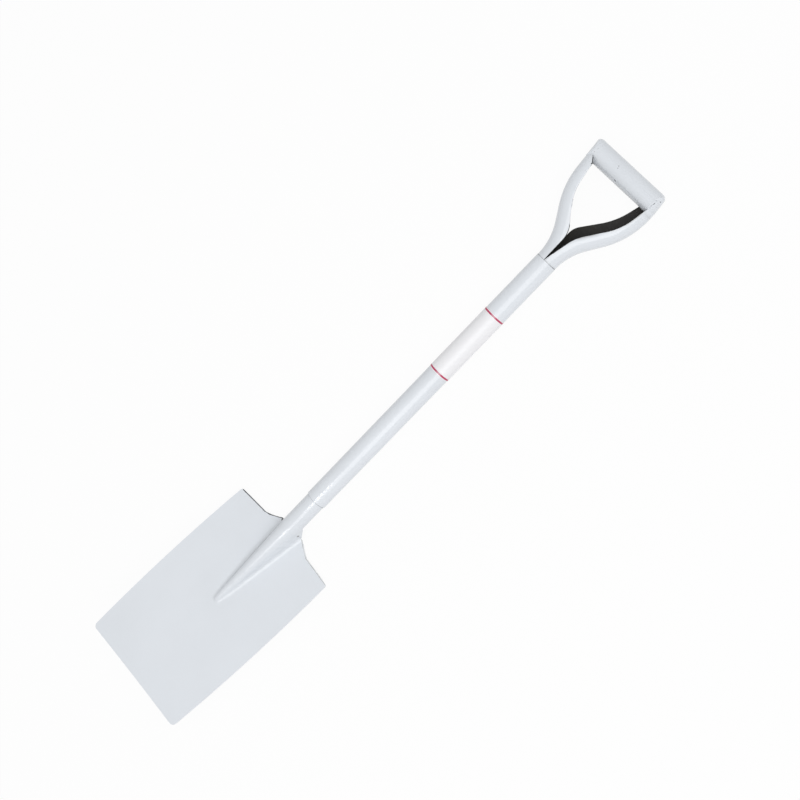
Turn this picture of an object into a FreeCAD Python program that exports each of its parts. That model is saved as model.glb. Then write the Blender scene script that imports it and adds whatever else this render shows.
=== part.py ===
# All-steel square mouth shovel: a pressed blade with a rolled neck, a tube shaft,
# a fork of two pressed half-tube arms, a tube grip and a sticker round the shaft.
#
# Frame: X across the blade, Y from the mouth towards the handle along the shaft,
# Z up out of the blade's face. The origin is the middle of the cutting edge.
# All lengths are millimetres.
import FreeCAD
import Part
import Sketcher
import math
import os

from FreeCAD import Placement, Rotation, Vector

doc = FreeCAD.newDocument("SquareMouthShovel")
sheet = doc.addObject("Spreadsheet::Sheet", "Sizes")

SIZES = [
    # blade sheet
    ("blade_length", 288.6),
    ("blade_half_mouth", 93.6),
    ("blade_half_middle", 97.8),
    ("blade_half_shoulder", 94.8),
    ("blade_thickness", 2.0),
    ("blade_dish_radius", 1800.0),
    ("blade_lift_angle", 12.6),
    ("mouth_corner_radius", 7.0),
    ("shoulder_corner_radius", 3.5),
    ("shoulder_rise", 3.0),
    ("knee_half_width", 46.0),
    ("knee_rise", 6.0),
    ("knee_bow_half_width", 33.0),
    ("knee_bow_rise", 11.8),
    ("saddle_half_width", 22.0),
    ("saddle_rise", 19.0),
    ("tread_depth", 5.0),
    ("tread_half_width", 84.0),
    ("tread_inner_half_width", 26.0),
    # frog, the raised rib that runs from the neck into the blade
    ("frog_length", 127.0),
    ("frog_tip_radius", 5.0),
    ("frog_tip_height", 4.0),
    ("frog_start", 31.0),
    ("frog_start_radius", 14.6),
    ("frog_open_end", 24.0),
    ("frog_flare_angle", 14.0),
    ("frog_depth", 8.0),
    ("frog_foot_radius", 7.0),
    # neck that the blade's sheet is rolled into
    ("neck_radius", 14.8),
    ("neck_wall", 2.0),
    ("neck_height", 12.0),
    ("neck_length", 79.0),
    ("neck_seam_gap", 0.8),
    # shaft tube
    ("shaft_radius", 16.0),
    ("shaft_wall", 1.5),
    ("shaft_length", 459.4),
    ("spigot_length", 45.0),
    ("spigot_clearance", 0.2),
    ("spigot_lap", 0.5),
    # fork arms
    ("arm_radius", 15.6),
    ("arm_wall", 1.5),
    ("arm_base", 0.5),
    ("arm_lean_angle", 33.0),
    ("arm_bend_radius", 97.6),
    ("arm_run", 24.0),
    ("right_top_lean_angle", -6.5),
    ("right_top_run", 10.2),
    ("left_top_lean_angle", 5.0),
    ("left_top_run", 30.3),
    ("arm_seam_gap", 0.3),
    ("arm_wrap_angle", 40.0),
    ("flange_reach", 24.0),
    # the edges, or lips, that each arm's front and back walls are trimmed to:
    # where each starts, then how its straight runs lean and how far they go,
    # and the radii of the bends between them
    ("lip_start", 3.0),
    ("right_front_offset", -0.42),
    ("right_front_lean_low_angle", 12.5),
    ("right_front_run_low", 39.9),
    ("right_front_bend_radius", 60.0),
    ("right_front_lean_mid_angle", 36.0),
    ("right_front_run_mid", 28.0),
    ("right_front_unbend_radius", 80.0),
    ("right_front_lean_top_angle", 9.0),
    ("right_rear_offset", 0.8),
    ("right_rear_lean_low_angle", -12.2),
    ("right_rear_run_low", 46.0),
    ("right_rear_bend_radius", 25.0),
    ("right_rear_lean_mid_angle", 38.0),
    ("right_rear_run_mid", 28.3),
    ("right_rear_unbend_radius", 100.0),
    ("right_rear_lean_top_angle", 15.0),
    ("left_front_offset", 0.15),
    ("left_front_lean_low_angle", 1.2),
    ("left_front_run_low", 37.0),
    ("left_front_bend_radius", 36.0),
    ("left_front_lean_mid_angle", 38.5),
    ("left_front_run_mid", 25.0),
    ("left_front_unbend_radius", 72.0),
    ("left_front_lean_top_angle", 11.0),
    ("left_front_flare_drop", 14.6),
    ("left_front_flare_radius", 3.0),
    ("left_front_flare_angle", 56.0),
    ("left_front_flare_run", 8.0),
    ("left_rear_offset", -0.2),
    ("left_rear_lean_low_angle", 12.2),
    ("left_rear_run_low", 44.0),
    ("left_rear_bend_radius", 40.0),
    ("left_rear_lean_mid_angle", 37.0),
    ("left_rear_run_mid", 34.3),
    ("left_rear_unbend_radius", 65.0),
    ("left_rear_lean_top_angle", 7.5),
    # grip tube and the cups that close it
    ("grip_height", 149.7),
    ("grip_radius", 16.1),
    ("grip_wall", 1.5),
    ("cup_depth", 7.2),
    ("cup_rim_radius", 5.0),
    ("cup_crown_radius", 23.0),
    ("cup_stand_off", 0.1),
    ("cup_blank_margin", 0.5),
    ("cup_floor", 4.4),
    ("grip_clearance", 0.3),
    # sticker
    ("label_length", 111.0),
    ("label_top", 98.0),
    ("label_thickness", 0.2),
    ("label_stand_off", 0.02),
    ("label_angle", 300.0),
    ("label_turn_angle", 120.0),
    # how far a cutting tool runs past what it cuts
    ("overrun", 40.0),
]

for row, (alias, value) in enumerate(SIZES, start=1):
    cell = "B%d" % row
    sheet.set("A%d" % row, alias)
    sheet.set(cell, str(value))
    sheet.setAlias(cell, alias)
doc.recompute()

VALUES = {alias: value for alias, value in SIZES}


class Dim:
    """A length or angle worked out from the sheet, as a number and as its formula."""

    def __init__(self, value, text):
        self.value = value
        self.text = text

    def __add__(self, other):
        return Dim(self.value + other.value, "(%s + %s)" % (self.text, other.text))

    def __sub__(self, other):
        return Dim(self.value - other.value, "(%s - %s)" % (self.text, other.text))

    def __neg__(self):
        return Dim(-self.value, "(-%s)" % self.text)

    def times(self, factor):
        return Dim(self.value * factor, "(%s * %s)" % (self.text, factor))

    def seen_along(self, lean):
        """This length as measured on a line that leans away from it."""
        cosine = math.cos(math.radians(lean.value))
        return Dim(self.value * cosine, "(%s * cos(%s))" % (self.text, lean.text))


def size(alias):
    return Dim(VALUES[alias], "Sizes.%s" % alias)


def bind(target, prop, dim):
    target.setExpression(prop, dim.text)


# Places that several pieces share, worked out from the driving sizes.
LIFT = math.radians(VALUES["blade_lift_angle"])
shoulder_below_ring = VALUES["shaft_length"] + VALUES["neck_length"]
RING = Vector(
    0,
    shoulder_below_ring + VALUES["blade_length"] * math.cos(LIFT),
    VALUES["neck_height"] - VALUES["blade_length"] * math.sin(LIFT),
)
ALONG_SHAFT = Rotation(Vector(1, 0, 0), -90)
ACROSS = Rotation(Vector(0, 1, 0), 90)


def tube(label, outer, wall, length, place):
    """A plain tube along its own Z axis, as one cylinder cut out of another."""
    skin = doc.addObject("Part::Cylinder", label + "_outside")
    bind(skin, "Radius", outer)
    bind(skin, "Height", length)
    bore = doc.addObject("Part::Cylinder", label + "_bore")
    bind(bore, "Radius", outer - wall)
    bind(bore, "Height", length)
    piece = doc.addObject("Part::Cut", label)
    piece.Base = skin
    piece.Tool = bore
    piece.Placement = place
    return piece


def plane(body, role):
    for feature in body.Origin.OriginFeatures:
        if feature.Role == role:
            return feature
    raise RuntimeError("no plane " + role)


def new_sketch(body, role, name):
    sketch = body.newObject("Sketcher::SketchObject", name)
    sketch.AttachmentSupport = (plane(body, role), [""])
    sketch.MapMode = "FlatFace"
    return sketch


def hold(sketch, name, kind, *where, dim=None, degrees=False):
    """Add a constraint, and bind its value to the sheet when it has one."""
    if dim is None:
        sketch.addConstraint(Sketcher.Constraint(kind, *where))
        return
    value = math.radians(dim.value) if degrees else dim.value
    index = sketch.addConstraint(Sketcher.Constraint(kind, *where, value))
    sketch.renameConstraint(index, name)
    sketch.setExpression("Constraints." + name, dim.text)


def line(sketch, start, end):
    return sketch.addGeometry(Part.LineSegment(Vector(*start, 0), Vector(*end, 0)), False)


START, END, CENTRE = range(1, 4)
X_AXIS, Y_AXIS = range(-1, -3, -1)
ORIGIN = (X_AXIS, START)
UPRIGHT = Dim(90.0, "90")


def swept_line(sketch, side, start, runs, bends, top=None):
    """Straight runs joined by tangent arcs, climbing from start.

    runs lists (lean, kind, size) and bends lists radii. A lean is measured from the
    shaft's line, outwards. A run goes on for a length, or up to a height. Where top
    is given, the line ends at that height and its last radius, None, follows.
    Returns the far end and the geometry numbers of the first and last runs.
    """
    x, y = start[0].value, start[1].value
    pieces = []
    for number, (lean, kind, far) in enumerate(runs):
        angle = math.radians(lean.value)
        heading = (side * math.sin(angle), math.cos(angle))
        reach = far.value if kind == "length" else (far.value - y) / heading[1]
        nx, ny = x + heading[0] * reach, y + heading[1] * reach
        geometry = line(sketch, (x, y), (nx, ny))
        name = "%s_run_%d" % (sketch.Name.lower(), number)
        tilt = UPRIGHT - lean if side > 0 else UPRIGHT + lean
        hold(sketch, name + "_lean", "Angle", geometry, dim=tilt, degrees=True)
        if kind == "length":
            hold(sketch, name + "_length", "Distance", geometry, dim=far)
        else:
            hold(sketch, name + "_height", "DistanceY", *ORIGIN, geometry, END, dim=far)
        if pieces:
            hold(sketch, "", "Tangent", *pieces[-1][1], geometry, START)
        pieces.append((geometry, (geometry, END)))
        x, y = nx, ny
        if number == len(bends):
            break
        next_angle = math.radians(runs[number + 1][0].value)
        outwards = 1 if next_angle > angle else -1
        if bends[number]:
            radius = bends[number].value
        else:
            rise = top.value - runs[-1][2].value * math.cos(next_angle) - y
            radius = rise / (outwards * (math.sin(next_angle) - math.sin(angle)))
        centre = (
            x + side * outwards * radius * math.cos(angle),
            y - outwards * radius * math.sin(angle),
        )
        nx = centre[0] - side * outwards * radius * math.cos(next_angle)
        ny = centre[1] + outwards * radius * math.sin(next_angle)
        clockwise = side * outwards > 0
        first, second = ((nx, ny), (x, y)) if clockwise else ((x, y), (nx, ny))
        circle = Part.Circle(Vector(*centre, 0), Vector(0, 0, 1), radius)
        turn = [math.atan2(p[1] - centre[1], p[0] - centre[0]) for p in (first, second)]
        arc = sketch.addGeometry(Part.ArcOfCircle(circle, *turn), False)
        enter, leave = (END, START) if clockwise else (START, END)
        hold(sketch, "", "Tangent", geometry, END, arc, enter)
        if bends[number]:
            hold(sketch, name + "_bend", "Radius", arc, dim=bends[number])
        pieces.append((arc, (arc, leave)))
        x, y = nx, ny
    first_run, last_run = pieces[0][0], pieces[-1][0]
    prefix = sketch.Name.lower()
    if top:
        hold(sketch, prefix + "_end_y", "DistanceY", *ORIGIN, last_run, END, dim=top)
    hold(sketch, prefix + "_start_x", "DistanceX", *ORIGIN, first_run, START, dim=start[0])
    hold(sketch, prefix + "_start_y", "DistanceY", *ORIGIN, first_run, START, dim=start[1])
    return (x, y), first_run, last_run


def lip_pocket(body, name, side, start, runs, bends, towards_back):
    """Trim one wall of an arm back to its lip, from its front or from its back."""
    sketch = new_sketch(body, "XY_Plane", name)
    (end_x, end_y), first, last = swept_line(sketch, side, start, runs, bends)
    far = size("overrun").times(-side)
    roof = line(sketch, (end_x, end_y), (far.value, end_y))
    wall = line(sketch, (far.value, end_y), (far.value, start[1].value))
    floor = line(sketch, (far.value, start[1].value), (start[0].value, start[1].value))
    hold(sketch, "", "Coincident", last, END, roof, START)
    hold(sketch, "", "Coincident", roof, END, wall, START)
    hold(sketch, "", "Coincident", wall, END, floor, START)
    hold(sketch, "", "Coincident", floor, END, first, START)
    hold(sketch, "", "Horizontal", roof)
    hold(sketch, "", "Vertical", wall)
    hold(sketch, "", "Horizontal", floor)
    hold(sketch, name.lower() + "_far", "DistanceX", *ORIGIN, wall, START, dim=far)
    pocket = body.newObject("PartDesign::Pocket", name + "_cut")
    pocket.Profile = sketch
    pocket.Reversed = not towards_back
    bind(pocket, "Length", size("overrun"))
    return pocket


def channel_profile(body, name, side):
    """The section of an arm: a half tube whose front wall wraps on round the inside
    and whose back wall runs on straight."""
    sketch = new_sketch(body, "XZ_Plane", name)
    outer = size("arm_radius")
    inner = size("arm_radius") - size("arm_wall")
    reach = size("flange_reach")
    wrap = size("arm_wrap_angle")
    far = -side * reach.value
    past = math.radians(wrap.value)
    quarter = math.pi / 2
    span = (-quarter, quarter + past) if side > 0 else (quarter - past, 3 * quarter)
    front_end, rear_end = (END, START) if side > 0 else (START, END)
    arcs = []
    tips = []
    for radius in (outer.value, inner.value):
        circle = Part.Circle(Vector(0, 0, 0), Vector(0, 0, 1), radius)
        arcs.append(sketch.addGeometry(Part.ArcOfCircle(circle, *span), False))
        tips.append((-side * radius * math.sin(past), radius * math.cos(past)))
    skin, bore = arcs
    front_lip = line(sketch, tips[1], tips[0])
    rear_back = line(sketch, (0, -inner.value), (far, -inner.value))
    rear_lip = line(sketch, (far, -inner.value), (far, -outer.value))
    rear = line(sketch, (far, -outer.value), (0, -outer.value))
    joins = [
        (skin, front_end, front_lip, END), (front_lip, START, bore, front_end),
        (bore, rear_end, rear_back, START), (rear_back, END, rear_lip, START),
        (rear_lip, END, rear, START), (rear, END, skin, rear_end),
        (skin, CENTRE, *ORIGIN), (bore, CENTRE, *ORIGIN),
    ]
    for join in joins:
        hold(sketch, "", "Coincident", *join)
    hold(sketch, "", "Horizontal", rear_back)
    hold(sketch, "", "Horizontal", rear)
    hold(sketch, "", "Vertical", rear_lip)
    hold(sketch, "", "PointOnObject", skin, rear_end, Y_AXIS)
    hold(sketch, "", "PointOnObject", bore, rear_end, Y_AXIS)
    hold(sketch, "", "PointOnObject", *ORIGIN, front_lip)
    tilt = UPRIGHT + wrap if side > 0 else UPRIGHT - wrap
    hold(sketch, "front_wrap", "Angle", front_lip, dim=tilt, degrees=True)
    hold(sketch, "outer_radius", "Radius", skin, dim=outer)
    hold(sketch, "inner_radius", "Radius", bore, dim=inner)
    hold(sketch, "rear_reach", "Distance", rear, dim=reach)
    return sketch


def disc_sketch(body, name, radius, side, stand_off):
    """A circle round the grip's axis, on a plane across it."""
    sketch = new_sketch(body, "YZ_Plane", name)
    bind(sketch, "AttachmentOffset.Base.z", stand_off.times(side))
    height = size("grip_height")
    circle = Part.Circle(Vector(height.value, 0, 0), Vector(0, 0, 1), radius.value)
    disc = sketch.addGeometry(circle, False)
    hold(sketch, name.lower() + "_radius", "Radius", disc, dim=radius)
    hold(sketch, name.lower() + "_height", "DistanceX", *ORIGIN, disc, CENTRE, dim=height)
    hold(sketch, "", "PointOnObject", disc, CENTRE, X_AXIS)
    return sketch


def crown_sketch(body, name, side, out, lean):
    """All that lies outside the crowned end of a cup, in plan at the grip's height.

    The plan leans with the arm's top run, so that the crown carries its wall on.
    """
    sketch = new_sketch(body, "XZ_Plane", name)
    turn = lean.times(-side)
    sketch.AttachmentOffset = Placement(Vector(0, 0, 0), Rotation(Vector(0, 1, 0), turn.value))
    bind(sketch, "AttachmentOffset.Base.z", -size("grip_height"))
    bind(sketch, "AttachmentOffset.Rotation.Angle", turn)
    radius = size("cup_crown_radius")
    crest = out.seen_along(lean) + size("arm_radius") + size("cup_stand_off")
    middle = (crest - radius).times(side)
    high = size("grip_radius") + size("grip_clearance")
    far = (crest + size("overrun")).times(side)
    tip = math.asin(high.value / radius.value)
    span = (-tip, tip) if side > 0 else (math.pi - tip, math.pi + tip)
    circle = Part.Circle(Vector(middle.value, 0, 0), Vector(0, 0, 1), radius.value)
    crown = sketch.addGeometry(Part.ArcOfCircle(circle, *span), False)
    top_end, low_end = (END, START) if side > 0 else (START, END)
    corner = middle.value + side * radius.value * math.cos(tip)
    top = line(sketch, (corner, high.value), (far.value, high.value))
    wall = line(sketch, (far.value, high.value), (far.value, -high.value))
    low = line(sketch, (far.value, -high.value), (corner, -high.value))
    joins = [
        (crown, top_end, top, START), (top, END, wall, START),
        (wall, END, low, START), (low, END, crown, low_end),
    ]
    for join in joins:
        hold(sketch, "", "Coincident", *join)
    hold(sketch, "", "Horizontal", top)
    hold(sketch, "", "Vertical", wall)
    hold(sketch, "", "Horizontal", low)
    hold(sketch, "", "PointOnObject", crown, CENTRE, X_AXIS)
    hold(sketch, "crown_radius", "Radius", crown, dim=radius)
    hold(sketch, "crown_middle", "DistanceX", *ORIGIN, crown, CENTRE, dim=middle)
    hold(sketch, "crown_height", "DistanceY", *ORIGIN, top, START, dim=high)
    hold(sketch, "crown_far", "DistanceX", *ORIGIN, wall, START, dim=far)
    return sketch


def half_ring_sketch(body, name, side):
    """Half of the spigot's wall, up to the seam between the two arms."""
    sketch = new_sketch(body, "XZ_Plane", name)
    outer = size("shaft_radius") - size("shaft_wall") - size("spigot_clearance")
    inner = outer - size("arm_wall")
    seam = size("arm_seam_gap").times(side / 2)
    middle = Vector(0, 0, 0)
    up = Vector(0, 0, 1)
    arcs = []
    for radius in (outer, inner):
        tip = math.acos(abs(seam.value) / radius.value)
        span = (-tip, tip) if side > 0 else (math.pi - tip, math.pi + tip)
        circle = Part.Circle(middle, up, radius.value)
        arcs.append(sketch.addGeometry(Part.ArcOfCircle(circle, *span), False))
    top_end, low_end = (END, START) if side > 0 else (START, END)
    high = [math.sqrt(r.value ** 2 - seam.value ** 2) for r in (outer, inner)]
    top = line(sketch, (seam.value, high[0]), (seam.value, high[1]))
    low = line(sketch, (seam.value, -high[1]), (seam.value, -high[0]))
    joins = [
        (arcs[0], top_end, top, START), (top, END, arcs[1], top_end),
        (arcs[1], low_end, low, START), (low, END, arcs[0], low_end),
        (arcs[0], CENTRE, *ORIGIN), (arcs[1], CENTRE, *ORIGIN),
    ]
    for join in joins:
        hold(sketch, "", "Coincident", *join)
    hold(sketch, "", "Vertical", top)
    hold(sketch, "", "Vertical", low)
    hold(sketch, "outer_radius", "Radius", arcs[0], dim=outer)
    hold(sketch, "inner_radius", "Radius", arcs[1], dim=inner)
    hold(sketch, "front_seam", "DistanceX", *ORIGIN, top, START, dim=seam)
    hold(sketch, "rear_seam", "DistanceX", *ORIGIN, low, START, dim=seam)
    return sketch


def lip(name, side, flared=False):
    """Start, runs and bends of one lip, as swept_line takes them."""
    start = (size(name + "_offset").times(side), -size("lip_start"))
    top = size("grip_height")
    bends = [size(name + "_bend_radius"), size(name + "_unbend_radius")]
    runs = [
        (size(name + "_lean_low_angle"), "length", size(name + "_run_low")),
        (size(name + "_lean_mid_angle"), "length", size(name + "_run_mid")),
    ]
    if not flared:
        return start, runs + [(size(name + "_lean_top_angle"), "height", top)], bends
    flare = size(name + "_flare_angle")
    runs += [
        (size(name + "_lean_top_angle"), "height", top - size(name + "_flare_drop")),
        (flare, "length", size(name + "_flare_run")),
        (flare.times(0), "height", top),
    ]
    bends += [size(name + "_flare_radius"), size(name + "_flare_radius")]
    return start, runs, bends


def arm_path(body, name, side, lean, top_run):
    """The line an arm follows, and how far out it ends, as a length of the sheet."""
    path = new_sketch(body, "XY_Plane", name)
    start = (size("arm_base").times(0), size("arm_base").times(0))
    runs = [
        (size("arm_lean_angle").times(0), "length", size("arm_base")),
        (size("arm_lean_angle"), "length", size("arm_run")),
        (lean, "length", top_run),
    ]
    bends = [size("arm_bend_radius"), None]
    (end_x, _), _, last = swept_line(path, side, start, runs, bends, size("grip_height"))
    mark = path.addConstraint(Sketcher.Constraint("DistanceX", *ORIGIN, last, END, end_x))
    path.renameConstraint(mark, "end_out")
    path.setDriving(mark, False)
    return path, Dim(side * end_x, "(%s.Constraints.end_out / 1mm * %d)" % (path.Name, side))


def fork_arm(label, side, lean, top_run, front_lip, rear_lip):
    """One pressed arm: end cup, swept channel trimmed at its lips, and half spigot.

    Returns the arm and the place of the cup's rim, which the grip reaches up to.
    """
    body = doc.addObject("PartDesign::Body", label)
    path, out = arm_path(body, label + "_path", side, lean, top_run)
    doc.recompute()
    half_width = out + size("arm_radius")
    rim = half_width - size("cup_depth")
    blank = size("cup_depth") + size("cup_blank_margin")

    cup = body.newObject("PartDesign::Pad", label + "_cup")
    cup.Profile = disc_sketch(body, label + "_cup_disc", size("grip_radius"), side, rim)
    cup.Reversed = side < 0
    bind(cup, "Length", blank)
    doc.recompute()

    rounding = body.newObject("PartDesign::Fillet", label + "_cup_rim")
    end_x = side * (rim + blank).value
    outside = [
        "Edge%d" % number
        for number, edge in enumerate(cup.Shape.Edges, start=1)
        if abs(edge.CenterOfMass.x - end_x) < VALUES["cup_rim_radius"] / 2
        and isinstance(edge.Curve, Part.Circle)
    ]
    rounding.Base = (cup, outside)
    bind(rounding, "Radius", size("cup_rim_radius"))
    doc.recompute()

    crown = body.newObject("PartDesign::Pocket", label + "_cup_crown")
    crown.Profile = crown_sketch(body, label + "_crown_plan", side, out, lean)
    crown.Midplane = True
    bind(crown, "Length", size("overrun").times(2))
    doc.recompute()

    channel = body.newObject("PartDesign::AdditivePipe", label + "_channel")
    channel.Profile = channel_profile(body, label + "_section", side)
    channel.Spine = path
    doc.recompute()

    lip_pocket(body, label + "_front_lip", side, *front_lip, False)
    doc.recompute()
    lip_pocket(body, label + "_rear_lip", side, *rear_lip, True)
    doc.recompute()

    bore = body.newObject("PartDesign::Pocket", label + "_cup_bore")
    bore.Profile = disc_sketch(
        body, label + "_cup_bore_disc", size("grip_radius") - size("cup_rim_radius"),
        side, rim)
    bore.Reversed = side > 0
    bind(bore, "Length", size("cup_depth") - size("cup_floor"))
    doc.recompute()

    room = body.newObject("PartDesign::Pocket", label + "_grip_room")
    room.Profile = disc_sketch(
        body, label + "_grip_room_disc", size("grip_radius") + size("grip_clearance"),
        side, rim)
    room.Reversed = side < 0
    bind(room, "Length", rim.times(2))
    doc.recompute()

    spigot = body.newObject("PartDesign::Pad", label + "_spigot")
    spigot.Profile = half_ring_sketch(body, label + "_spigot_section", side)
    bind(spigot, "Length", size("spigot_length") + size("spigot_lap"))
    bind(spigot.Profile[0], "AttachmentOffset.Base.z", -size("spigot_lap"))
    doc.recompute()
    body.Placement = Placement(RING, Rotation())
    return body, rim


right_arm, right_rim = fork_arm(
    "fork_arm_right", 1, size("right_top_lean_angle"), size("right_top_run"),
    lip("right_front", 1), lip("right_rear", 1))
left_arm, left_rim = fork_arm(
    "fork_arm_left", -1, size("left_top_lean_angle"), size("left_top_run"),
    lip("left_front", -1, flared=True), lip("left_rear", -1))

# shaft tube, from the ring at the fork down to the neck of the blade
shaft = tube(
    "shaft", size("shaft_radius"), size("shaft_wall"), size("shaft_length"),
    Placement(RING - Vector(0, VALUES["shaft_length"], 0), ALONG_SHAFT))

# grip tube, held between the two cups
grip = tube(
    "grip", size("grip_radius"), size("grip_wall"), left_rim + right_rim,
    Placement(RING + Vector(-left_rim.value, VALUES["grip_height"], 0), ACROSS))

# sticker wrapped round the shaft, with its open seam at the back
label_inner = size("shaft_radius") + size("label_stand_off")
label_turn = Rotation(Vector(0, 0, 1), VALUES["label_turn_angle"])
label = tube(
    "label", label_inner + size("label_thickness"), size("label_thickness"),
    size("label_length"),
    Placement(
        RING - Vector(0, VALUES["label_top"] + VALUES["label_length"], 0),
        ALONG_SHAFT.multiply(label_turn)))
bind(label.Base, "Angle", size("label_angle"))


# Blade. It is built flat, with x across, y from the mouth and z out of the face,
# and then turned down about the cutting edge.
LENGTH = VALUES["blade_length"]
THICK = VALUES["blade_thickness"]
DISH = VALUES["blade_dish_radius"]
OVER = VALUES["overrun"]
TILT = Placement(Vector(0, 0, 0), Rotation(Vector(1, 0, 0), -VALUES["blade_lift_angle"]))


def dished(flat, depth):
    """Keep the part of an upright prism that lies in a dished sheet of this depth."""
    axis_start = Vector(0, -OVER, DISH + THICK / 2)
    along = Vector(0, 1, 0)
    reach = LENGTH + OVER + OVER
    outer = Part.makeCylinder(DISH + depth, reach, axis_start, along)
    inner = Part.makeCylinder(DISH, reach, axis_start, along)
    return flat.common(outer).cut(inner)


def upright_prism(edges):
    face = Part.Face(Part.Wire(edges))
    face.translate(Vector(0, 0, -OVER))
    return face.extrude(Vector(0, 0, OVER + OVER))


def shoulder_line(side, drop):
    """The shoulder's edge from the corner to the saddle, dropped towards the mouth."""
    top = LENGTH - drop
    corner = Vector(side * VALUES["blade_half_shoulder"], top + VALUES["shoulder_rise"], 0)
    knee = Vector(side * VALUES["knee_half_width"], top + VALUES["knee_rise"], 0)
    bow = Vector(side * VALUES["knee_bow_half_width"], top + VALUES["knee_bow_rise"], 0)
    saddle = Vector(side * VALUES["saddle_half_width"], top + VALUES["saddle_rise"], 0)
    return corner, knee, bow, saddle


def blade_outline():
    edges = []
    ends = {}
    for side in (-1, 1):
        mouth = Vector(side * VALUES["blade_half_mouth"], 0, 0)
        middle = Vector(side * VALUES["blade_half_middle"], LENGTH / 2, 0)
        corner, knee, bow, saddle = shoulder_line(side, 0)
        edges.append(Part.Arc(mouth, middle, corner).toShape())
        edges.append(Part.makeLine(corner, knee))
        edges.append(Part.Arc(knee, bow, saddle).toShape())
        ends[side] = (mouth, saddle)
    edges.append(Part.makeLine(ends[-1][0], ends[1][0]))
    edges.append(Part.makeLine(ends[-1][1], ends[1][1]))
    return upright_prism(Part.__sortEdges__(edges))


def corner_edges(prism, half_width, near_mouth):
    """The two upright edges of a prism at the corners of the mouth or the shoulders."""
    found = []
    for edge in prism.Edges:
        ends = [v.Point for v in edge.Vertexes]
        if len(ends) < 2 or (ends[0] - ends[1]).Length < OVER:
            continue
        point = edge.CenterOfMass
        upright = abs(ends[0].x - ends[1].x) < THICK and abs(ends[0].y - ends[1].y) < THICK
        at_side = abs(abs(point.x) - half_width) < THICK
        at_end = (point.y < LENGTH / 2) == near_mouth
        if upright and at_side and at_end:
            found.append(edge)
    return found


def tread_strip(side):
    """The strip of the shoulder that is turned back to make the tread."""
    high = shoulder_line(side, 0)
    low = shoulder_line(side, THICK)
    edges = [
        Part.makeLine(high[0], high[1]),
        Part.Arc(high[1], high[2], high[3]).toShape(),
        Part.makeLine(high[3], low[3]),
        Part.Arc(low[3], low[2], low[1]).toShape(),
        Part.makeLine(low[1], low[0]),
        Part.makeLine(low[0], high[0]),
    ]
    strip = upright_prism(edges)
    near = VALUES["tread_inner_half_width"]
    width = VALUES["tread_half_width"] - near
    left = near if side > 0 else -near - width
    window = Part.makeBox(width, LENGTH, OVER + OVER, Vector(left, LENGTH / 2, -OVER))
    return strip.common(window)


def bridge(first, second):
    """A solid with flat sides between two outlines that have as many corners.

    The corners of the first go round anticlockwise as seen from outside.
    """
    faces = [Part.Face(Part.makePolygon(ring + ring[:1])) for ring in (first, second)]
    for number, corner in enumerate(first):
        after = (number + 1) % len(first)
        quad = [corner, first[after], second[after], second[number], corner]
        faces.append(Part.Face(Part.makePolygon(quad)))
    return Part.Solid(Part.Shell(faces))


def axis_height(place):
    """Height of the shaft's axis above the blade's flat, at a distance from the mouth."""
    past = place - LENGTH
    return (VALUES["neck_height"] + past * math.sin(LIFT)) / math.cos(LIFT)


def pair(point, half):
    """Two points level with this one, half a width to its left and to its right."""
    return [point - Vector(half, 0, 0), point + Vector(half, 0, 0)]


def frog_pieces(inset):
    """The rib, or with an inset the hollow behind it, as three solids: the top of a
    cone, the wedge whose flanks run on down from it, and its round tip."""
    begin = VALUES["frog_start"] if inset == 0 else VALUES["frog_open_end"]
    tip = Vector(0, LENGTH - VALUES["frog_length"],
                 VALUES["frog_tip_height"] - VALUES["frog_tip_radius"])
    full = Vector(0, LENGTH + VALUES["frog_start"], axis_height(LENGTH + VALUES["frog_start"]))
    share = (LENGTH + begin - tip.y) / (full.y - tip.y)
    back = tip + (full - tip) * share
    thin = VALUES["frog_tip_radius"] - inset
    thick = thin + (VALUES["frog_start_radius"] - VALUES["frog_tip_radius"]) * share
    cone = Part.makeCone(thin, thick, (back - tip).Length, tip, back - tip)

    # the flanks lean by the flare and touch the cone along two straight lines
    spread = math.atan2(thick - thin, (back - tip).Length)
    axis = (back - tip).normalize()
    upward = Vector(0, -axis.z, axis.y)
    lean = math.sin(math.radians(VALUES["frog_flare_angle"]))
    turn = math.asin((lean + math.sin(spread) * axis.z) / (math.cos(spread) * axis.y))
    wedge_ends = []
    upper_ends = []
    for middle, radius in ((tip, thin), (back, thick)):
        level = middle + upward * (radius * math.sin(turn))
        drop = (level.z + VALUES["frog_depth"]) / upward.z
        touch = radius * math.cos(turn)
        foot = touch + drop * math.tan(turn)
        wedge_ends.append(pair(level - upward * drop, foot) + pair(level, -touch))
        upper_ends.append(pair(level, OVER) + pair(level + upward * OVER, -OVER))
    top = cone.common(bridge(*upper_ends))
    return top, bridge(*wedge_ends), Part.makeSphere(thin, tip)


def rib_feet(body):
    """The two long edges along which the rib's flanks stand on the sheet's face."""
    return [
        edge for edge in body.Edges
        if edge.Length > VALUES["frog_length"]
        and THICK < abs(edge.CenterOfMass.x) < VALUES["saddle_half_width"]
        and 0 < edge.CenterOfMass.z < THICK
    ]


def shaft_rod(radius, low, high):
    """A rod on the shaft's line, in the blade's own frame; places are along the shaft."""
    rod = Part.makeCylinder(radius, high - low, RING + Vector(0, low, 0), Vector(0, 1, 0))
    rod.Placement = TILT.inverse().multiply(rod.Placement)
    return rod


prism = blade_outline()
prism = prism.makeFillet(
    VALUES["mouth_corner_radius"],
    corner_edges(prism, VALUES["blade_half_mouth"], True))
prism = prism.makeFillet(
    VALUES["shoulder_corner_radius"],
    corner_edges(prism, VALUES["blade_half_shoulder"], False))
pan = dished(prism, THICK)
for side in (-1, 1):
    pan = pan.fuse(dished(tread_strip(side), THICK + VALUES["tread_depth"]))

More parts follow.
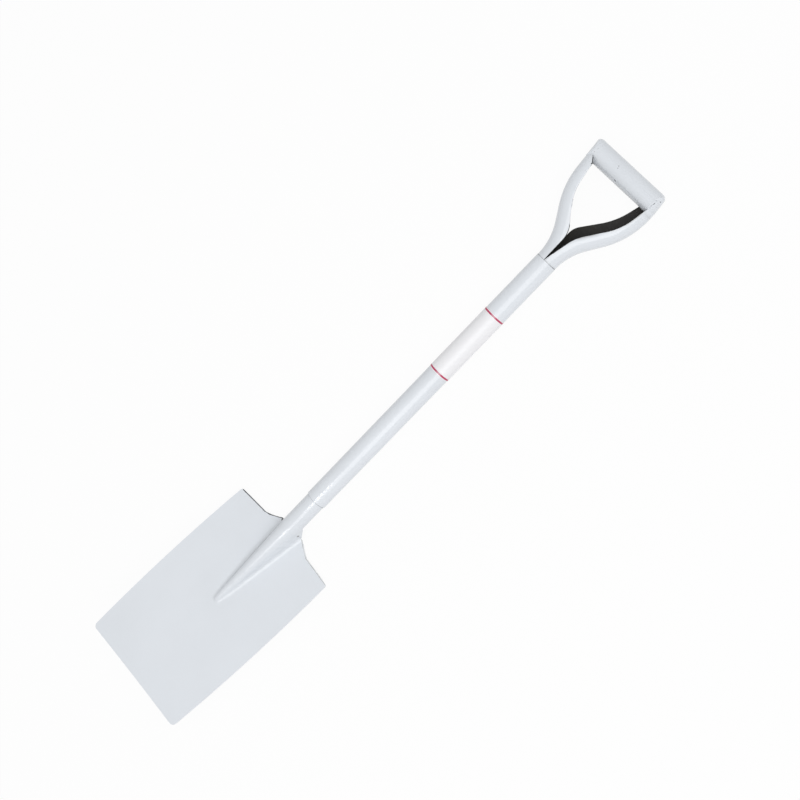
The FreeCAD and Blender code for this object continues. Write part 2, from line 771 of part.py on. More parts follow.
# the rib stops on a slant behind the saddle, where its flanks run up to the neck
rib_top, wedge, tip_ball = frog_pieces(0)
rib = rib_top.fuse(wedge).fuse(tip_ball)
saddle_top = LENGTH + VALUES["saddle_rise"]
slant = Part.Face(Part.makePolygon([
    Vector(0, saddle_top, -THICK),
    Vector(0, saddle_top + OVER, -THICK - OVER),
    Vector(0, saddle_top + OVER, axis_height(saddle_top)),
    Vector(0, LENGTH + VALUES["frog_start"], axis_height(saddle_top)),
    Vector(0, saddle_top, -THICK),
]))
slant.translate(Vector(-OVER, 0, 0))
rib = rib.cut(slant.extrude(Vector(OVER + OVER, 0, 0)))
rib_floor = Part.makeBox(OVER + OVER, LENGTH, OVER, Vector(-OVER, LENGTH / 2, -OVER))
rib = rib.cut(rib_floor)

ring_end = -VALUES["shaft_length"]
neck_foot = -shoulder_below_ring + VALUES["frog_open_end"]
neck = shaft_rod(VALUES["neck_radius"], neck_foot - THICK, ring_end)
spigot_outer = VALUES["shaft_radius"] - VALUES["shaft_wall"] - VALUES["spigot_clearance"]
spigot = shaft_rod(spigot_outer, ring_end - THICK, ring_end + VALUES["spigot_length"])
bore = shaft_rod(
    VALUES["neck_radius"] - VALUES["neck_wall"],
    neck_foot - THICK - THICK, ring_end + VALUES["spigot_length"] + OVER)
seam = Part.makeBox(
    VALUES["neck_seam_gap"], VALUES["neck_length"] + OVER, OVER,
    RING + Vector(-VALUES["neck_seam_gap"] / 2, neck_foot - OVER, -OVER))
seam.Placement = TILT.inverse().multiply(seam.Placement)

face = pan.fuse(rib).removeSplitter()
face = face.makeFillet(VALUES["frog_foot_radius"], rib_feet(face))
shell = face.fuse(neck).fuse(spigot)
for hollow in frog_pieces(THICK) + (bore, seam):
    shell = shell.cut(hollow)
blade = doc.addObject("Part::Feature", "blade")
blade.Shape = shell.removeSplitter()
blade.Placement = TILT

doc.recompute()

PIECES = {
    "blade": blade,
    "shaft": shaft,
    "fork_arm_left": left_arm,
    "fork_arm_right": right_arm,
    "grip": grip,
    "label": label,
}

for item in doc.Objects:
    if "Invalid" in item.State or "Error" in item.State:
        raise RuntimeError("%s has not been worked out" % item.Label)

os.makedirs("parts", exist_ok=True)
for name, piece in PIECES.items():
    shape = piece.Shape
    if shape.isNull() or not shape.isValid() or len(shape.Solids) != 1:
        raise RuntimeError("%s is not one sound solid" % name)
    shape.exportStep("parts/%s.step" % name)
    box = shape.BoundBox
    print(name, round(shape.Volume), [round(v, 1) for v in (
        box.XMin, box.XMax, box.YMin, box.YMax, box.ZMin, box.ZMax)])
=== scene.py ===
"""Looks of an all-steel square mouth shovel, laid on its back on a pale floor.

The finish is white gloss enamel over pressed steel and tube, with a few chips, pits and
cracks where pieces meet. The insides of the fork's arms are bare dark steel, and a blank
sticker with two red rings goes round the shaft.
"""
import math

import bpy
from bpy.props import FloatProperty, FloatVectorProperty, PointerProperty
from bpy.types import Operator, Panel, PropertyGroup
from mathutils import Matrix, Vector
from mathutils.kdtree import KDTree


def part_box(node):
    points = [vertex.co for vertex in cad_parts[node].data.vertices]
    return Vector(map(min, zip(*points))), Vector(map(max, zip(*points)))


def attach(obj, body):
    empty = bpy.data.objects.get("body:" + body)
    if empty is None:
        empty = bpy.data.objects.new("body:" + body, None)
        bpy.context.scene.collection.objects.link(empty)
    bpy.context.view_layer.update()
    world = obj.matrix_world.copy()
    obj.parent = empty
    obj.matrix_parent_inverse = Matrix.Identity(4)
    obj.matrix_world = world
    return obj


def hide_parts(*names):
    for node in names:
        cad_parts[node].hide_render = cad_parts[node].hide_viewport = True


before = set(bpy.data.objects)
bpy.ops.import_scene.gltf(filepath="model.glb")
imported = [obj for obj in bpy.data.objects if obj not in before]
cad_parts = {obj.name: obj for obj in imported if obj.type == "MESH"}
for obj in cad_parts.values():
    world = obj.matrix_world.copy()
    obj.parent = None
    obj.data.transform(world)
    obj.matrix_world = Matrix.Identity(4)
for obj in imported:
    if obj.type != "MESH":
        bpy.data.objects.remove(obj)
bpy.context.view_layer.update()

bl_info = {
    "name": "Square Mouth Shovel",
    "version": (1, 0, 0),
    "blender": (4, 5, 0),
    "location": "View3D > Sidebar > Shovel",
    "description": "Dresses an all-steel square mouth shovel and lights it on a pale floor",
    "category": "Object",
}

BODY = "root"
MM = 0.001

SHAFT_LOW, SHAFT_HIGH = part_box("shaft")
LABEL_LOW, LABEL_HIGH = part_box("label")
GRIP_LOW, GRIP_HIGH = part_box("grip")
BLADE_LOW, BLADE_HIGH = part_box("blade")
AXIS_Z = (SHAFT_LOW.z + SHAFT_HIGH.z) / 2
RING = Vector((0, SHAFT_HIGH.y, AXIS_Z))

# Places along the shaft, where the fork's arms change.
SEAM_START = RING.y + 8 * MM
SEAM_END = RING.y + 56 * MM
ARMS_PART = RING.y + 62 * MM
LIP_END = GRIP_LOW.y - 8 * MM
# Below these the insides of the arms are bare steel: behind, and in front.
BARE_BELOW = RING.y + 55 * MM
WHITE_ABOVE = RING.y + 45 * MM

# Sizes of the enamel's patterns.
CLOUD_SIZE = 90 * MM
PEEL_SIZE = 1.6 * MM
WAVE_SIZE = 40 * MM
PINHOLE_SPACING = 26 * MM
PINHOLE_SHARE = 0.028

# Colours under the enamel: in its chips and pits, and in its cracks.
CHIP = (0.045, 0.050, 0.055)
CRACK = (0.10, 0.10, 0.11)
# Rusty tone of the bare steel inside the arms.
MILL_SCALE = (0.018, 0.016, 0.013)

# Each lamp's size across and along, how far it stands round the shaft as a share of the
# camera's azimuth, its distance, and its place and its aim along the shaft, in metres.
LAMPS = {
    "key": ((2.6, 1.6), 1.6, 2.0, 0.75, RING.y / 2),
    "strip": ((0.60, 2.6), 1.15, 2.1, 0.2, 0.2),
    "streak": ((0.07, 0.8), 1.15, 2.0, -0.25, -0.25),
}

# Flaws of the finish, in millimetres: where each begins and ends, and its radius.
# A flaw that ends where it begins is a round pit.
BLADE_FLAWS = [
    # The first four draw a dark line along the left shoulder's top edge.
    ((-92.0, 284.9, -60.4), (-46.0, 287.6, -62.8), 0.9),
    ((-50.0, 287.4, -62.7), (-38.0, 290.4, -63.6), 1.3),
    ((-38.0, 290.4, -63.6), (-29.0, 295.6, -64.8), 1.0),
    ((-29.0, 295.6, -64.8), (-21.0, 300.4, -65.6), 0.9),
    ((-19.6, 298.8, -64.1), (-17.6, 303.0, -60.0), 1.9),
    ((16.2, 302.6, -57.2), (16.2, 302.6, -57.2), 0.8),
    ((14.2, 359.8, -50.0), (14.2, 359.8, -52.5), 1.0),
]
# Darker lines, in millimetres as above. The first is painted shade along the rib's left foot,
# where its flank turns away from the camera. The second is a soft ring round the pit at the
# right of the neck.
BLADE_CREASES = [
    ((-17.6, 301.0, -63.0), (-5.6, 172.0, -36.5), 1.0),
    ((16.2, 302.3, -57.2), (16.2, 302.3, -57.2), 2.0),
    # The last three draw a grey line along the right shoulder's top edge.
    ((21.0, 300.4, -65.6), (29.0, 295.6, -64.8), 0.6),
    ((29.0, 295.6, -64.8), (46.0, 287.6, -62.8), 0.5),
    ((46.0, 287.6, -62.8), (92.0, 284.9, -60.4), 0.4),
]
GRIP_FLAWS = [
    ((-7.2, 957.2, -40.9), (-6.2, 956.6, -41.6), 0.8),
    ((-13.8, 970.5, -34.9), (-13.8, 970.5, -34.9), 0.5),
    ((-14.8, 973.2, -35.2), (-14.8, 973.2, -35.2), 0.5),
]
GRIP_CREASES = [
    ((-52.7, 964.9, -35.6), (-51.7, 971.4, -35.0), 0.25),
    ((-51.7, 971.4, -35.0), (-50.6, 978.1, -37.2), 0.25),
]
RIGHT_ARM_FLAWS = [
    ((56.7, 976.1, -42.9), (56.7, 976.1, -42.9), 0.9),
    ((53.1, 981.9, -40.4), (54.0, 980.9, -40.2), 0.4),
]
LEFT_ARM_FLAWS = [
    ((-50.0, 960.6, -36.2), (-44.0, 953.2, -35.8), 0.9),
    ((-44.0, 952.0, -35.5), (-44.0, 952.0, -35.5), 1.0),
]


class ShovelColours(PropertyGroup):
    enamel: FloatVectorProperty(
        name="Enamel", description="Colour of the white gloss enamel",
        subtype="COLOR", size=3, min=0, max=1, default=(0.765, 0.80, 0.845))
    # Darker enamel: painted shade along the rib's left foot, seam and edge lines, the band
    # along the right arm's lips, and faint clouding.
    enamel_shade: FloatVectorProperty(
        name="Enamel in creases", description="Where the enamel is thin or has gathered dust",
        subtype="COLOR", size=3, min=0, max=1, default=(0.30, 0.30, 0.29))
    bare_steel: FloatVectorProperty(
        name="Bare steel", description="Oiled black steel inside the fork's arms",
        subtype="COLOR", size=3, min=0, max=1, default=(0.011, 0.0105, 0.0095))
    film: FloatVectorProperty(
        name="Sticker film", description="Colour of the blank sticker",
        subtype="COLOR", size=3, min=0, max=1, default=(0.89, 0.89, 0.91))
    ring: FloatVectorProperty(
        name="Sticker ring", description="Colour of the ring at each end of the sticker",
        subtype="COLOR", size=3, min=0, max=1, default=(0.50, 0.034, 0.11))


class ShovelSizes(PropertyGroup):
    edge_round: FloatProperty(
        name="Edge rounding", description="Radius left on pressed and cut edges",
        unit="LENGTH", default=0.5 * MM)
    corner: FloatProperty(
        name="Corner", description="Radius of the right arm's outer corner",
        unit="LENGTH", default=6.0 * MM)
    lip_tuck: FloatProperty(
        name="Lip tuck", description="How far the left arm's rear lip is drawn back",
        unit="LENGTH", default=1.5 * MM)
    seam_fill: FloatProperty(
        name="Seam fill", description="How far the seam between the arms is closed behind",
        unit="LENGTH", default=0.25 * MM)
    grip_reach: FloatProperty(
        name="Grip reach", description="How far the grip's right end is drawn to the arm",
        unit="LENGTH", default=1.6 * MM)
    ring_width: FloatProperty(
        name="Ring width", description="Width of the sticker's printed rings",
        unit="LENGTH", default=2.6 * MM)
    # How far the darker band along the right arm's lips reaches.
    lip_band: FloatProperty(
        name="Overspray", description="How far the thin paint at the arms' lips reaches",
        unit="LENGTH", default=2.5 * MM)


class ShovelStage(PropertyGroup):
    distance: FloatProperty(
        name="Camera distance", description="From the shaft's line to the camera",
        unit="LENGTH", default=1.650)
    azimuth: FloatProperty(
        name="Camera azimuth", description="How far the camera stands round the shaft",
        subtype="ANGLE", default=math.radians(15.68))
    along: FloatProperty(
        name="Camera along", description="How far the camera stands past the fork's ring",
        unit="LENGTH", default=0.0524)
    pitch: FloatProperty(
        name="Camera pitch", description="Turn towards the blade",
        subtype="ANGLE", default=math.radians(-11.17))
    yaw: FloatProperty(
        name="Camera yaw", description="Turn across the shaft",
        subtype="ANGLE", default=math.radians(0.43))
    roll: FloatProperty(
        name="Camera roll", description="Turn about the line of sight",
        subtype="ANGLE", default=math.radians(44.0))
    lens: FloatProperty(
        name="Lens", description="Focal length on a 36 mm wide sensor, in millimetres",
        default=54.99)
    key_power: FloatProperty(
        name="Key light", description="Power of the large soft light, in watts", default=22.5)
    strip_power: FloatProperty(
        name="Strip light", description="Power of the long soft light, in watts", default=2.4)
    streak_power: FloatProperty(
        name="Streak light", description="Power of the narrow light that draws a bright "
        "line along the neck and the rib, in watts", default=1.3)
    ambient: FloatProperty(
        name="Ambient", description="Strength of the light from all round", default=0.50)


class Socket:
    """A shader socket that takes part in Python arithmetic by adding Math nodes."""

    def __init__(self, shader, output):
        self.shader = shader
        self.output = output

    def math(self, operation, *others):
        return self.shader.node("ShaderNodeMath", {"operation": operation}, self, *others)

    def __add__(self, other):
        return self.math("ADD", other)

    __radd__ = __add__

    def __sub__(self, other):
        return self.math("SUBTRACT", other)

    def __rsub__(self, other):
        return self.shader.node("ShaderNodeMath", {"operation": "SUBTRACT"}, other, self)

    def __mul__(self, other):
        return self.math("MULTIPLY", other)

    __rmul__ = __mul__

    def above(self, edge, softness):
        """0 below the edge and 1 above it, with a soft step."""
        settings = {"interpolation_type": "SMOOTHSTEP"}
        low, high = edge - softness / 2, edge + softness / 2
        return self.shader.node("ShaderNodeMapRange", settings, self, low, high)

    def clamped(self):
        return self.math("MAXIMUM", 0).math("MINIMUM", 1)


class Shader:
    """Builds one material's node tree."""

    def __init__(self, name):
        self.material = bpy.data.materials.new(name)
        self.material.use_nodes = True
        self.tree = self.material.node_tree
        self.surface = self.tree.nodes["Principled BSDF"]
        self.output = self.tree.nodes["Material Output"]

    def node(self, kind, settings=None, *inputs, output=0, **named):
        node = self.tree.nodes.new(kind)
        for key, value in (settings or {}).items():
            setattr(node, key, value)
        for index, value in enumerate(inputs):
            self.feed(node.inputs[index], value)
        for key, value in named.items():
            self.feed(node.inputs[key.replace("_", " ")], value)
        return Socket(self, node.outputs[output])

    def feed(self, target, value):
        if isinstance(value, Socket):
            self.tree.links.new(value.output, target)
        elif value is not None:
            target.default_value = value

    def mix(self, factor, low, high):
        node = self.tree.nodes.new("ShaderNodeMix")
        node.data_type = "RGBA"
        self.feed(node.inputs["Factor"], factor)
        self.feed(node.inputs[6], self.colour(low))
        self.feed(node.inputs[7], self.colour(high))
        return Socket(self, node.outputs[2])

    def colour(self, value):
        return value if isinstance(value, Socket) else (*value, 1)

    def place(self):
        return self.node("ShaderNodeTexCoord", output=3)

    def parts(self, vector):
        node = self.tree.nodes.new("ShaderNodeSeparateXYZ")
        self.feed(node.inputs[0], vector)
        return [Socket(self, output) for output in node.outputs]

    def vector(self, operation, first, second=None):
        """Vector arithmetic; SCALE takes a number or a socket as its second value."""
        kind, settings = "ShaderNodeVectorMath", {"operation": operation}
        if operation == "SCALE":
            return self.node(kind, settings, first, Scale=second)
        found = 1 if operation in ("DOT_PRODUCT", "LENGTH") else 0
        return self.node(kind, settings, first, second, output=found)

    def noise(self, vector, size, detail=3.0, roughness=0.5):
        return self.node(
            "ShaderNodeTexNoise", None, Vector=vector, Scale=1 / size,
            Detail=detail, Roughness=roughness)

    def bump(self, height, distance, strength=1.0, normal=None):
        return self.node(
            "ShaderNodeBump", None, Strength=strength, Distance=distance,
            Height=height, Normal=normal)

    def set(self, name, value):
        self.feed(self.surface.inputs[name], value)


def pits(shader, place, spacing, share):
    """Scattered pinholes: 1 inside a pinhole, 0 elsewhere."""
    cells = shader.node(
        "ShaderNodeTexVoronoi", {"feature": "F1"}, Vector=place, Scale=1 / spacing)
    chance = shader.noise(place, spacing * 3.1, detail=1.0).above(0.66, 0.02)
    return (1 - cells.above(share, share / 2)) * chance


def flaw(shader, place, start, end, radius):
    """1 within a radius of the line from start to end, all in millimetres."""
    start, end = Vector(start) * MM, Vector(end) * MM
    run = end - start
    offset = shader.vector("SUBTRACT", place, start)
    if run.length > 0:
        along = shader.vector("DOT_PRODUCT", offset, run / run.length_squared).clamped()
        offset = shader.vector("SUBTRACT", offset, shader.vector("SCALE", run, along))
    ragged = (shader.noise(place, 1.5 * MM) - 0.5) * (0.9 * radius * MM)
    away = shader.vector("LENGTH", offset) + ragged
    return 1 - away.above(radius * MM, 0.5 * radius * MM)


def crack(shader, place, height):
    """A fine line in the paint round the shaft's line at y = height, darker towards the
    tube's sides.
    """
    across, along, _ = shader.parts(place)
    away = (along - height).math("ABSOLUTE")
    line = 1 - away.above(0.45 * MM, 0.4 * MM)
    side = across.math("ABSOLUTE").above(11 * MM, 8 * MM)
    broken = shader.noise(place, 6 * MM).above(0.42, 0.3)
    return line * (0.22 + side * 0.45 + broken * 0.18)


def enamel(name, flaws=(), cracks=(), creases=(), lip_band=False):
    """White gloss enamel: faint orange peel, soft clouding, a few pinholes and flaws, and
    darker lines, some of them painted shade.
    """
    colours = bpy.context.scene.shovel_colours
    shader = Shader(name)
    place = shader.place()
    cloud = shader.noise(place, CLOUD_SIZE, detail=4.0)
    peel = shader.noise(place, PEEL_SIZE, detail=2.0)
    waves = shader.noise(place, WAVE_SIZE, detail=1.0)
    pin = pits(shader, place, PINHOLE_SPACING, PINHOLE_SHARE)
    base = shader.mix(cloud.above(0.55, 0.5) * 0.05, colours.enamel, colours.enamel_shade)
    # A darker band along the right arm's lips, from the value per vertex set in bare_inside.
    if lip_band:
        thin = shader.node("ShaderNodeAttribute", {"attribute_name": "thin"}, output=2)
        base = shader.mix(thin.math("POWER", 1.4) * 0.85, base, colours.enamel_shade)
    # Darker lines: painted shade along the blade rib's left foot, and seam and edge lines
    # elsewhere.
    for start, end, radius in creases:
        shade = flaw(shader, place, start, end, radius) * 0.75
        base = shader.mix(shade, base, colours.enamel_shade)
    for height in cracks:
        base = shader.mix(crack(shader, place, height), base, CRACK)
    for start, end, radius in flaws:
        pin = pin.math("MAXIMUM", flaw(shader, place, start, end, radius))
    base = shader.mix(pin, base, CHIP)
    shader.set("Base Color", base)
    shader.set("Roughness", 0.10 + cloud * 0.05 + pin * 0.4)
    shader.set("Specular IOR Level", 0.5)
    shader.set("Coat Weight", 0.25)
    shader.set("Coat Roughness", 0.10)
    skin = shader.bump(waves, 0.06 * MM, 0.4)
    skin = shader.bump(peel, 0.010 * MM, 0.25, skin)
    shader.set("Normal", shader.bump(1 - pin, 0.12 * MM, 1.0, skin))
    return shader


def film():
    """Glossy white sticker film with a printed ring near each end, painted paler where it
    faces the camera as a highlight.
    """
    colours = bpy.context.scene.shovel_colours
    width = bpy.context.scene.shovel_sizes.ring_width
    shader = Shader("sticker_film")
    place = shader.place()
    across, along, _ = shader.parts(place)
    wobble = (shader.noise(place, 9 * MM) - 0.5) * (0.3 * MM)
    along = along + wobble
    soft = 0.25 * MM
    low = along.above(LABEL_LOW.y + width * 0.3, soft)
    low = low * (1 - along.above(LABEL_LOW.y + width * 1.3, soft))
    high = along.above(LABEL_HIGH.y - width * 1.3, soft)
    high = high * (1 - along.above(LABEL_HIGH.y - width * 0.3, soft))
    grain = shader.noise(place, 0.5 * MM, detail=2.0)
    # Painted highlight: the rings' ink is weaker along the line that faces the camera, 4 mm
    # right of the shaft's middle, and full towards the sides.
    beside_highlight = (across - 4 * MM).math("ABSOLUTE").above(3 * MM, 5 * MM)
    ink = (low + high).clamped() * (0.62 + beside_highlight * 0.30 + grain * 0.16).clamped()
    shader.set("Base Color", shader.mix(ink, colours.film, colours.ring))
    shader.set("Roughness", 0.22 + grain * 0.08)
    shader.set("Normal", shader.bump(grain, 0.006 * MM, 0.4))
    return shader.material


def bare_steel():
    """Oiled black steel as it comes off the mill, for the inside of the fork."""
    colours = bpy.context.scene.shovel_colours
    shader = Shader("bare_steel")
    place = shader.place()
    mill = shader.noise(place, 3 * MM, detail=5.0)
    scale = shader.noise(place, 22 * MM, detail=3.0)
    tone = shader.mix(scale.above(0.55, 0.4), colours.bare_steel, MILL_SCALE)
    shader.set("Base Color", tone)
    shader.set("Roughness", 0.55 + mill * 0.25)
    shader.set("Metallic", 0.15)
    shader.set("Normal", shader.bump(mill, 0.05 * MM, 0.5))
    return shader.material


def select_only(piece):
    bpy.ops.object.select_all(action="DESELECT")
    piece.select_set(True)
    bpy.context.view_layer.objects.active = piece


def copy_of(node, name):
    """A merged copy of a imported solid, to be finished as a piece of its own."""
    piece = bpy.data.objects.new(name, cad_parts[node].data.copy())
    bpy.context.scene.collection.objects.link(piece)
    piece.data.materials.clear()
    select_only(piece)
    bpy.ops.mesh.customdata_custom_splitnormals_clear()
    bpy.ops.object.mode_set(mode="EDIT")
    bpy.ops.mesh.select_all(action="SELECT")
    bpy.ops.mesh.remove_doubles(threshold=0.004 * MM)
    bpy.ops.mesh.select_all(action="SELECT")
    bpy.ops.mesh.dissolve_limited(angle_limit=math.radians(0.4))
    bpy.ops.object.mode_set(mode="OBJECT")
    return piece


def apply(piece, kind, **settings):
    modifier = piece.modifiers.new(kind.lower(), kind)
    for key, value in settings.items():
        setattr(modifier, key, value)
    select_only(piece)
    bpy.ops.object.modifier_apply(modifier=modifier.name)


def soften(piece, width):
    """Round the sharp edges and shade the rest smooth."""
    apply(
        piece, "BEVEL", width=width, segments=2, limit_method="ANGLE",
        angle_limit=math.radians(32), miter_outer="MITER_ARC", use_clamp_overlap=True)
    select_only(piece)
    bpy.ops.object.shade_smooth_by_angle(angle=math.radians(38))
    apply(piece, "WEIGHTED_NORMAL", keep_sharp=True)


def round_corner(piece, radius):
    """Round the right arm's outer corner, as it is seen from the front."""
    reach = max(v.co.x for v in piece.data.vertices if v.co.y > GRIP_HIGH.y - 2 * MM)
    centre = Vector((reach - radius, GRIP_HIGH.y - radius, 0))
    select_only(piece)
    bpy.ops.object.mode_set(mode="EDIT")
    for step in range(6):
        for axis in (Vector((1, 0, 0)), Vector((0, 1, 0))):
            bpy.ops.mesh.select_all(action="SELECT")
            bpy.ops.mesh.bisect(plane_co=centre + axis * radius * step / 6, plane_no=axis)
    bpy.ops.object.mode_set(mode="OBJECT")
    for vertex in piece.data.vertices:
        offset = vertex.co - centre
        if offset.x > 0 and offset.y > 0:
            pull = max(offset.x, offset.y) / offset.xy.length
            vertex.co.x = centre.x + offset.x * pull
            vertex.co.y = centre.y + offset.y * pull


def tuck_rear_lip(piece, tuck, seam):
    """Hide the left arm's rear lip behind its front lip, and close the seam below it."""
    edge = {}
    for face in piece.data.polygons:
        if face.normal.x > 0.5 and face.center.z < AXIS_Z - 4 * MM:
            for index in face.vertices:
                edge[index] = face.normal.copy()
    for index, normal in edge.items():
        place = piece.data.vertices[index].co
        if ARMS_PART < place.y < LIP_END:
            place -= normal * tuck
        elif SEAM_START < place.y < SEAM_END:
            place += normal * seam


def middle_of_arm(piece):
    """How far out the arm's own middle line lies, for each step along the shaft."""
    step = 6 * MM
    outermost = {}
    for vertex in piece.data.vertices:
        key = round(vertex.co.y / step)
        far = abs(vertex.co.x)
        outermost[key] = max(outermost.get(key, 0), far)
    half = (SHAFT_HIGH.x - SHAFT_LOW.x) / 2

    def middle(along):
        key = round(along / step)
        while key not in outermost:
            key -= 1
        return max(outermost[key] - half, 0)
    return middle


def is_bare(face, side, middle):
    """Whether a face of an arm is unpainted: it looks into the arm, or is a cut edge."""
    centre, normal = face.center, face.normal
    out = (centre - Vector((side * middle(centre.y), centre.y, AXIS_Z))).normalized()
    looks_in = out.dot(normal) < -0.25 and centre.y < GRIP_LOW.y - 2 * MM
    inward = -side * normal.x
    behind = centre.z < AXIS_Z
    low = centre.y < BARE_BELOW
    cut_edge = low and inward > (0.2 if behind else 0.5)
    if side > 0:
        return looks_in or (cut_edge and behind)
    front = normal.z > 0.9 or centre.z > AXIS_Z + 12 * MM
    painted = front and centre.y > WHITE_ABOVE
    slit = inward > 0.3 and abs(centre.y - GRIP_LOW.y - 2 * MM) < 8 * MM
    fork_floor = low and behind and normal.z > 0
    return (looks_in and not painted) or cut_edge or fork_floor or slit


def bare_inside(piece, side, reach):
    """Give the inside of an arm the second material, and mark a darker band along its lips.

    The band is a value per vertex: 1 on a lip, down to 0 at the band's reach.
    Only the right arm has it.
    """
    middle = middle_of_arm(piece)
    mesh = piece.data
    inside, outside = set(), set()
    for face in mesh.polygons:
        bare = is_bare(face, side, middle)
        face.material_index = 1 if bare else 0
        (inside if bare else outside).update(face.vertices)
    lips = inside & outside
    tree = KDTree(len(lips))
    for index in lips:
        tree.insert(mesh.vertices[index].co, index)
    tree.balance()
    # Value per vertex of the darker band along the right arm's lips.
    thin = mesh.attributes.new("thin", "FLOAT", "POINT")
    for vertex in mesh.vertices:
        _, _, away = tree.find(vertex.co)
        on_right = side > 0 and vertex.co.y < GRIP_LOW.y
        thin.data[vertex.index].value = max(0, 1 - away / reach) if on_right else 0


def close_gap(piece, reach):
    """Bring the front of the grip's right end up to the arm's lip, further out on top."""
    for vertex in piece.data.vertices:
        place = vertex.co
        height = place.y - GRIP_LOW.y
        in_front = place.z > AXIS_Z + 9 * MM and height < 20 * MM
        if in_front and place.x > GRIP_HIGH.x - 1.5 * MM:
            place.x += reach + max(0, height - 9 * MM) * 0.12


def hand_over(piece, node):
    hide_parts(node)
    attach(piece, BODY)


class SHOVEL_OT_blade(Operator):
    """Finish the pressed blade with its rib and neck"""
    bl_idname = "shovel.blade"
    bl_label = "Blade"

    def execute(self, context):
        piece = copy_of("blade", "blade_pressing")
        soften(piece, context.scene.shovel_sizes.edge_round)
        shader = enamel("enamel_blade", BLADE_FLAWS, [SHAFT_LOW.y], BLADE_CREASES)
        piece.data.materials.append(shader.material)
        hand_over(piece, "blade")
        return {"FINISHED"}


class SHOVEL_OT_shaft(Operator):
    """Finish the shaft tube"""
    bl_idname = "shovel.shaft"
    bl_label = "Shaft"

    def execute(self, context):
        piece = copy_of("shaft", "shaft_tube")
        soften(piece, context.scene.shovel_sizes.edge_round)
        shader = enamel("enamel_shaft", cracks=[SHAFT_LOW.y, SHAFT_HIGH.y])
        piece.data.materials.append(shader.material)
        hand_over(piece, "shaft")
        return {"FINISHED"}


class SHOVEL_OT_fork(Operator):
    """Finish the two arms of the fork, bare inside"""
    bl_idname = "shovel.fork"
    bl_label = "Fork arms"

    def execute(self, context):
        sizes = context.scene.shovel_sizes
        inside = bare_steel()
        for name, side, flaws in (
                ("left", -1, LEFT_ARM_FLAWS), ("right", 1, RIGHT_ARM_FLAWS)):
            piece = copy_of("fork_arm_" + name, "arm_pressing_" + name)
            if side > 0:
                round_corner(piece, sizes.corner)
            else:
                tuck_rear_lip(piece, sizes.lip_tuck, sizes.seam_fill)
            soften(piece, sizes.edge_round)
            shader = enamel("enamel_" + name, flaws, [SHAFT_HIGH.y], lip_band=True)
            piece.data.materials.append(shader.material)
            piece.data.materials.append(inside)
            bare_inside(piece, side, sizes.lip_band)
            hand_over(piece, "fork_arm_" + name)
        return {"FINISHED"}


class SHOVEL_OT_grip(Operator):
    """Finish the grip tube"""
    bl_idname = "shovel.grip"
    bl_label = "Grip"

    def execute(self, context):
        piece = copy_of("grip", "grip_tube")
        soften(piece, context.scene.shovel_sizes.edge_round / 2)
        close_gap(piece, context.scene.shovel_sizes.grip_reach)
        shader = enamel("enamel_grip", GRIP_FLAWS, creases=GRIP_CREASES)
        piece.data.materials.append(shader.material)
        hand_over(piece, "grip")
        return {"FINISHED"}


class SHOVEL_OT_label(Operator):
    """Finish the blank sticker"""
    bl_idname = "shovel.label"
    bl_label = "Sticker"

    def execute(self, context):
        piece = copy_of("label", "sticker")
        select_only(piece)
        bpy.ops.object.shade_smooth_by_angle(angle=math.radians(38))
        piece.data.materials.append(film())
        hand_over(piece, "label")
        return {"FINISHED"}


def turned(matrix, angle, axis):
    """Turn a camera's axes about one of its own."""
    return matrix @ Matrix.Rotation(angle, 3, axis)


def place_camera(stage):
    across = Vector((math.cos(stage.azimuth), 0, -math.sin(stage.azimuth)))
    upward = Vector((0, 1, 0))
    back = Vector((math.sin(stage.azimuth), 0, math.cos(stage.azimuth)))
    axes = Matrix((across, upward, back)).transposed()
    axes = turned(axes, stage.pitch, "X")
    axes = turned(axes, stage.yaw, "Y")
    axes = turned(axes, stage.roll, "Z")
    centre = RING + back * stage.distance + upward * stage.along
    bpy.ops.object.camera_add()
    camera = bpy.context.object
    camera.name = "camera"
    camera.matrix_world = Matrix.Translation(centre) @ axes.to_4x4()
    camera.data.sensor_width = 36.0
    camera.data.lens = stage.lens
    camera.data.clip_end = 50.0
    bpy.context.scene.camera = camera


def around(azimuth, distance, height):
    """A place at a distance from the shaft's line, round it from straight above."""
    return Vector((
        math.sin(azimuth) * distance, height, AXIS_Z + math.cos(azimuth) * distance))


def light(name, size, place, target, power):
    bpy.ops.object.light_add(type="AREA", location=place)
    lamp = bpy.context.object
    lamp.name = name
    lamp.data.shape = "RECTANGLE"
    lamp.data.size, lamp.data.size_y = size
    lamp.data.energy = power
    lamp.rotation_euler = (target - place).to_track_quat("-Z", "Y").to_euler()


def seen_directly(shader):
    """1 for what the camera sees straight on, in a mirror or through glass."""
    node = shader.tree.nodes.new("ShaderNodeLightPath")
    rays = [Socket(shader, node.outputs[key]) for key in (
        "Is Camera Ray", "Is Glossy Ray", "Is Transmission Ray")]
    return (rays[0] + rays[1] + rays[2]).clamped()


def floor_material():
    shader = Shader("pale_floor")
    shader.set("Base Color", (0.80, 0.80, 0.80, 1))
    shader.set("Roughness", 0.9)
    glow = shader.node("ShaderNodeEmission", None, (1, 1, 1, 1), 1.0)
    share = seen_directly(shader) * 0.95
    diffuse = Socket(shader, shader.surface.outputs[0])
    blend = shader.node("ShaderNodeMixShader", None, share, diffuse, glow)
    shader.tree.links.new(blend.output, shader.output.inputs[0])
    return shader.material


def light_world(strength):
    world = bpy.data.worlds.new("studio")
    bpy.context.scene.world = world
    world.use_nodes = True
    shader = Shader.__new__(Shader)
    shader.tree = world.node_tree
    background = world.node_tree.nodes["Background"]
    background.inputs["Color"].default_value = (1, 1, 1, 1)
    direct = seen_directly(shader)
    level = strength + direct * (1 - strength)
    shader.feed(background.inputs["Strength"], level)


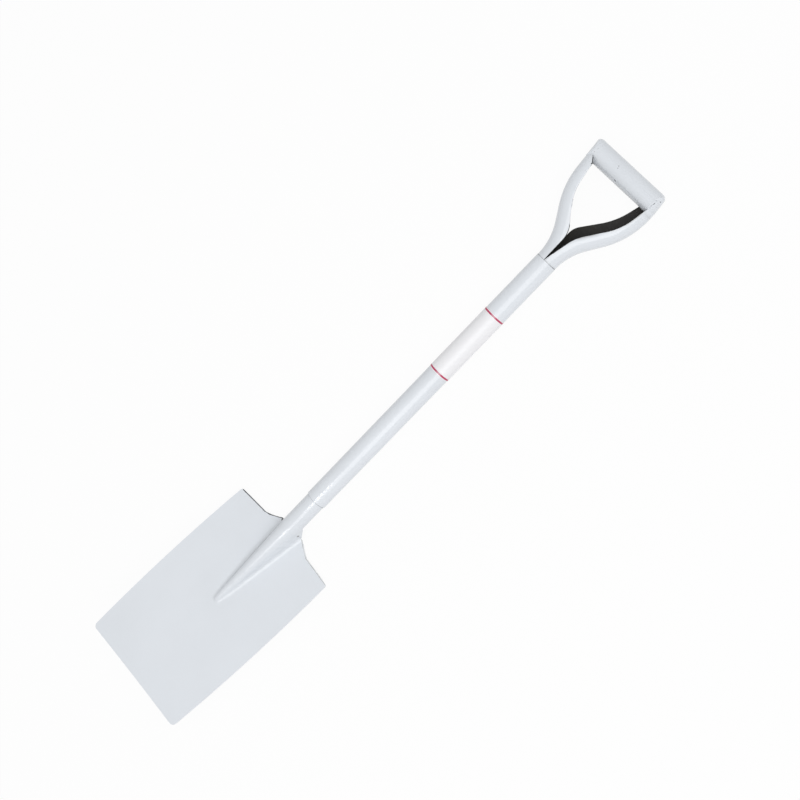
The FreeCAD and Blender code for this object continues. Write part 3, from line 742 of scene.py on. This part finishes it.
class SHOVEL_OT_stage(Operator):
    """Set up the floor, the lights and the camera"""
    bl_idname = "shovel.stage"
    bl_label = "Stage"

    def execute(self, context):
        stage = context.scene.shovel_stage
        context.scene.view_settings.view_transform = "Standard"
        place_camera(stage)
        low = min(BLADE_LOW.z, GRIP_LOW.z)
        bpy.ops.mesh.primitive_plane_add(size=12, location=(0, RING.y / 2, low - 0.2 * MM))
        floor = context.object
        floor.name = "floor"
        floor.data.materials.append(floor_material())
        for name, (size, share, distance, along, aim) in LAMPS.items():
            place = around(stage.azimuth * share, distance, along)
            target = Vector((0, aim, AXIS_Z))
            light(name, size, place, target, getattr(stage, name + "_power"))
        light_world(stage.ambient)
        return {"FINISHED"}


class SHOVEL_PT_panel(Panel):
    """Lists the shovel's pieces, sizes and colours"""
    bl_idname = "SHOVEL_PT_panel"
    bl_label = "Square Mouth Shovel"
    bl_space_type = "VIEW_3D"
    bl_region_type = "UI"
    bl_category = "Shovel"

    def draw(self, context):
        for operator in OPERATORS:
            self.layout.operator(operator.bl_idname)
        for group in GROUPS:
            settings = getattr(context.scene, GROUPS[group])
            for name in group.__annotations__:
                self.layout.prop(settings, name)


OPERATORS = (
    SHOVEL_OT_stage,
    SHOVEL_OT_blade,
    SHOVEL_OT_shaft,
    SHOVEL_OT_fork,
    SHOVEL_OT_grip,
    SHOVEL_OT_label,
)
GROUPS = {
    ShovelColours: "shovel_colours",
    ShovelSizes: "shovel_sizes",
    ShovelStage: "shovel_stage",
}


def register():
    for group, name in GROUPS.items():
        bpy.utils.register_class(group)
        setattr(bpy.types.Scene, name, PointerProperty(type=group))
    for item in (*OPERATORS, SHOVEL_PT_panel):
        bpy.utils.register_class(item)


def unregister():
    for item in reversed((*OPERATORS, SHOVEL_PT_panel)):
        bpy.utils.unregister_class(item)
    for group, name in reversed(GROUPS.items()):
        delattr(bpy.types.Scene, name)
        bpy.utils.unregister_class(group)


def main():
    register()
    bpy.ops.shovel.stage()
    bpy.ops.shovel.blade()
    bpy.ops.shovel.shaft()
    bpy.ops.shovel.fork()
    bpy.ops.shovel.grip()
    bpy.ops.shovel.label()


if __name__ == "__main__":
    main()
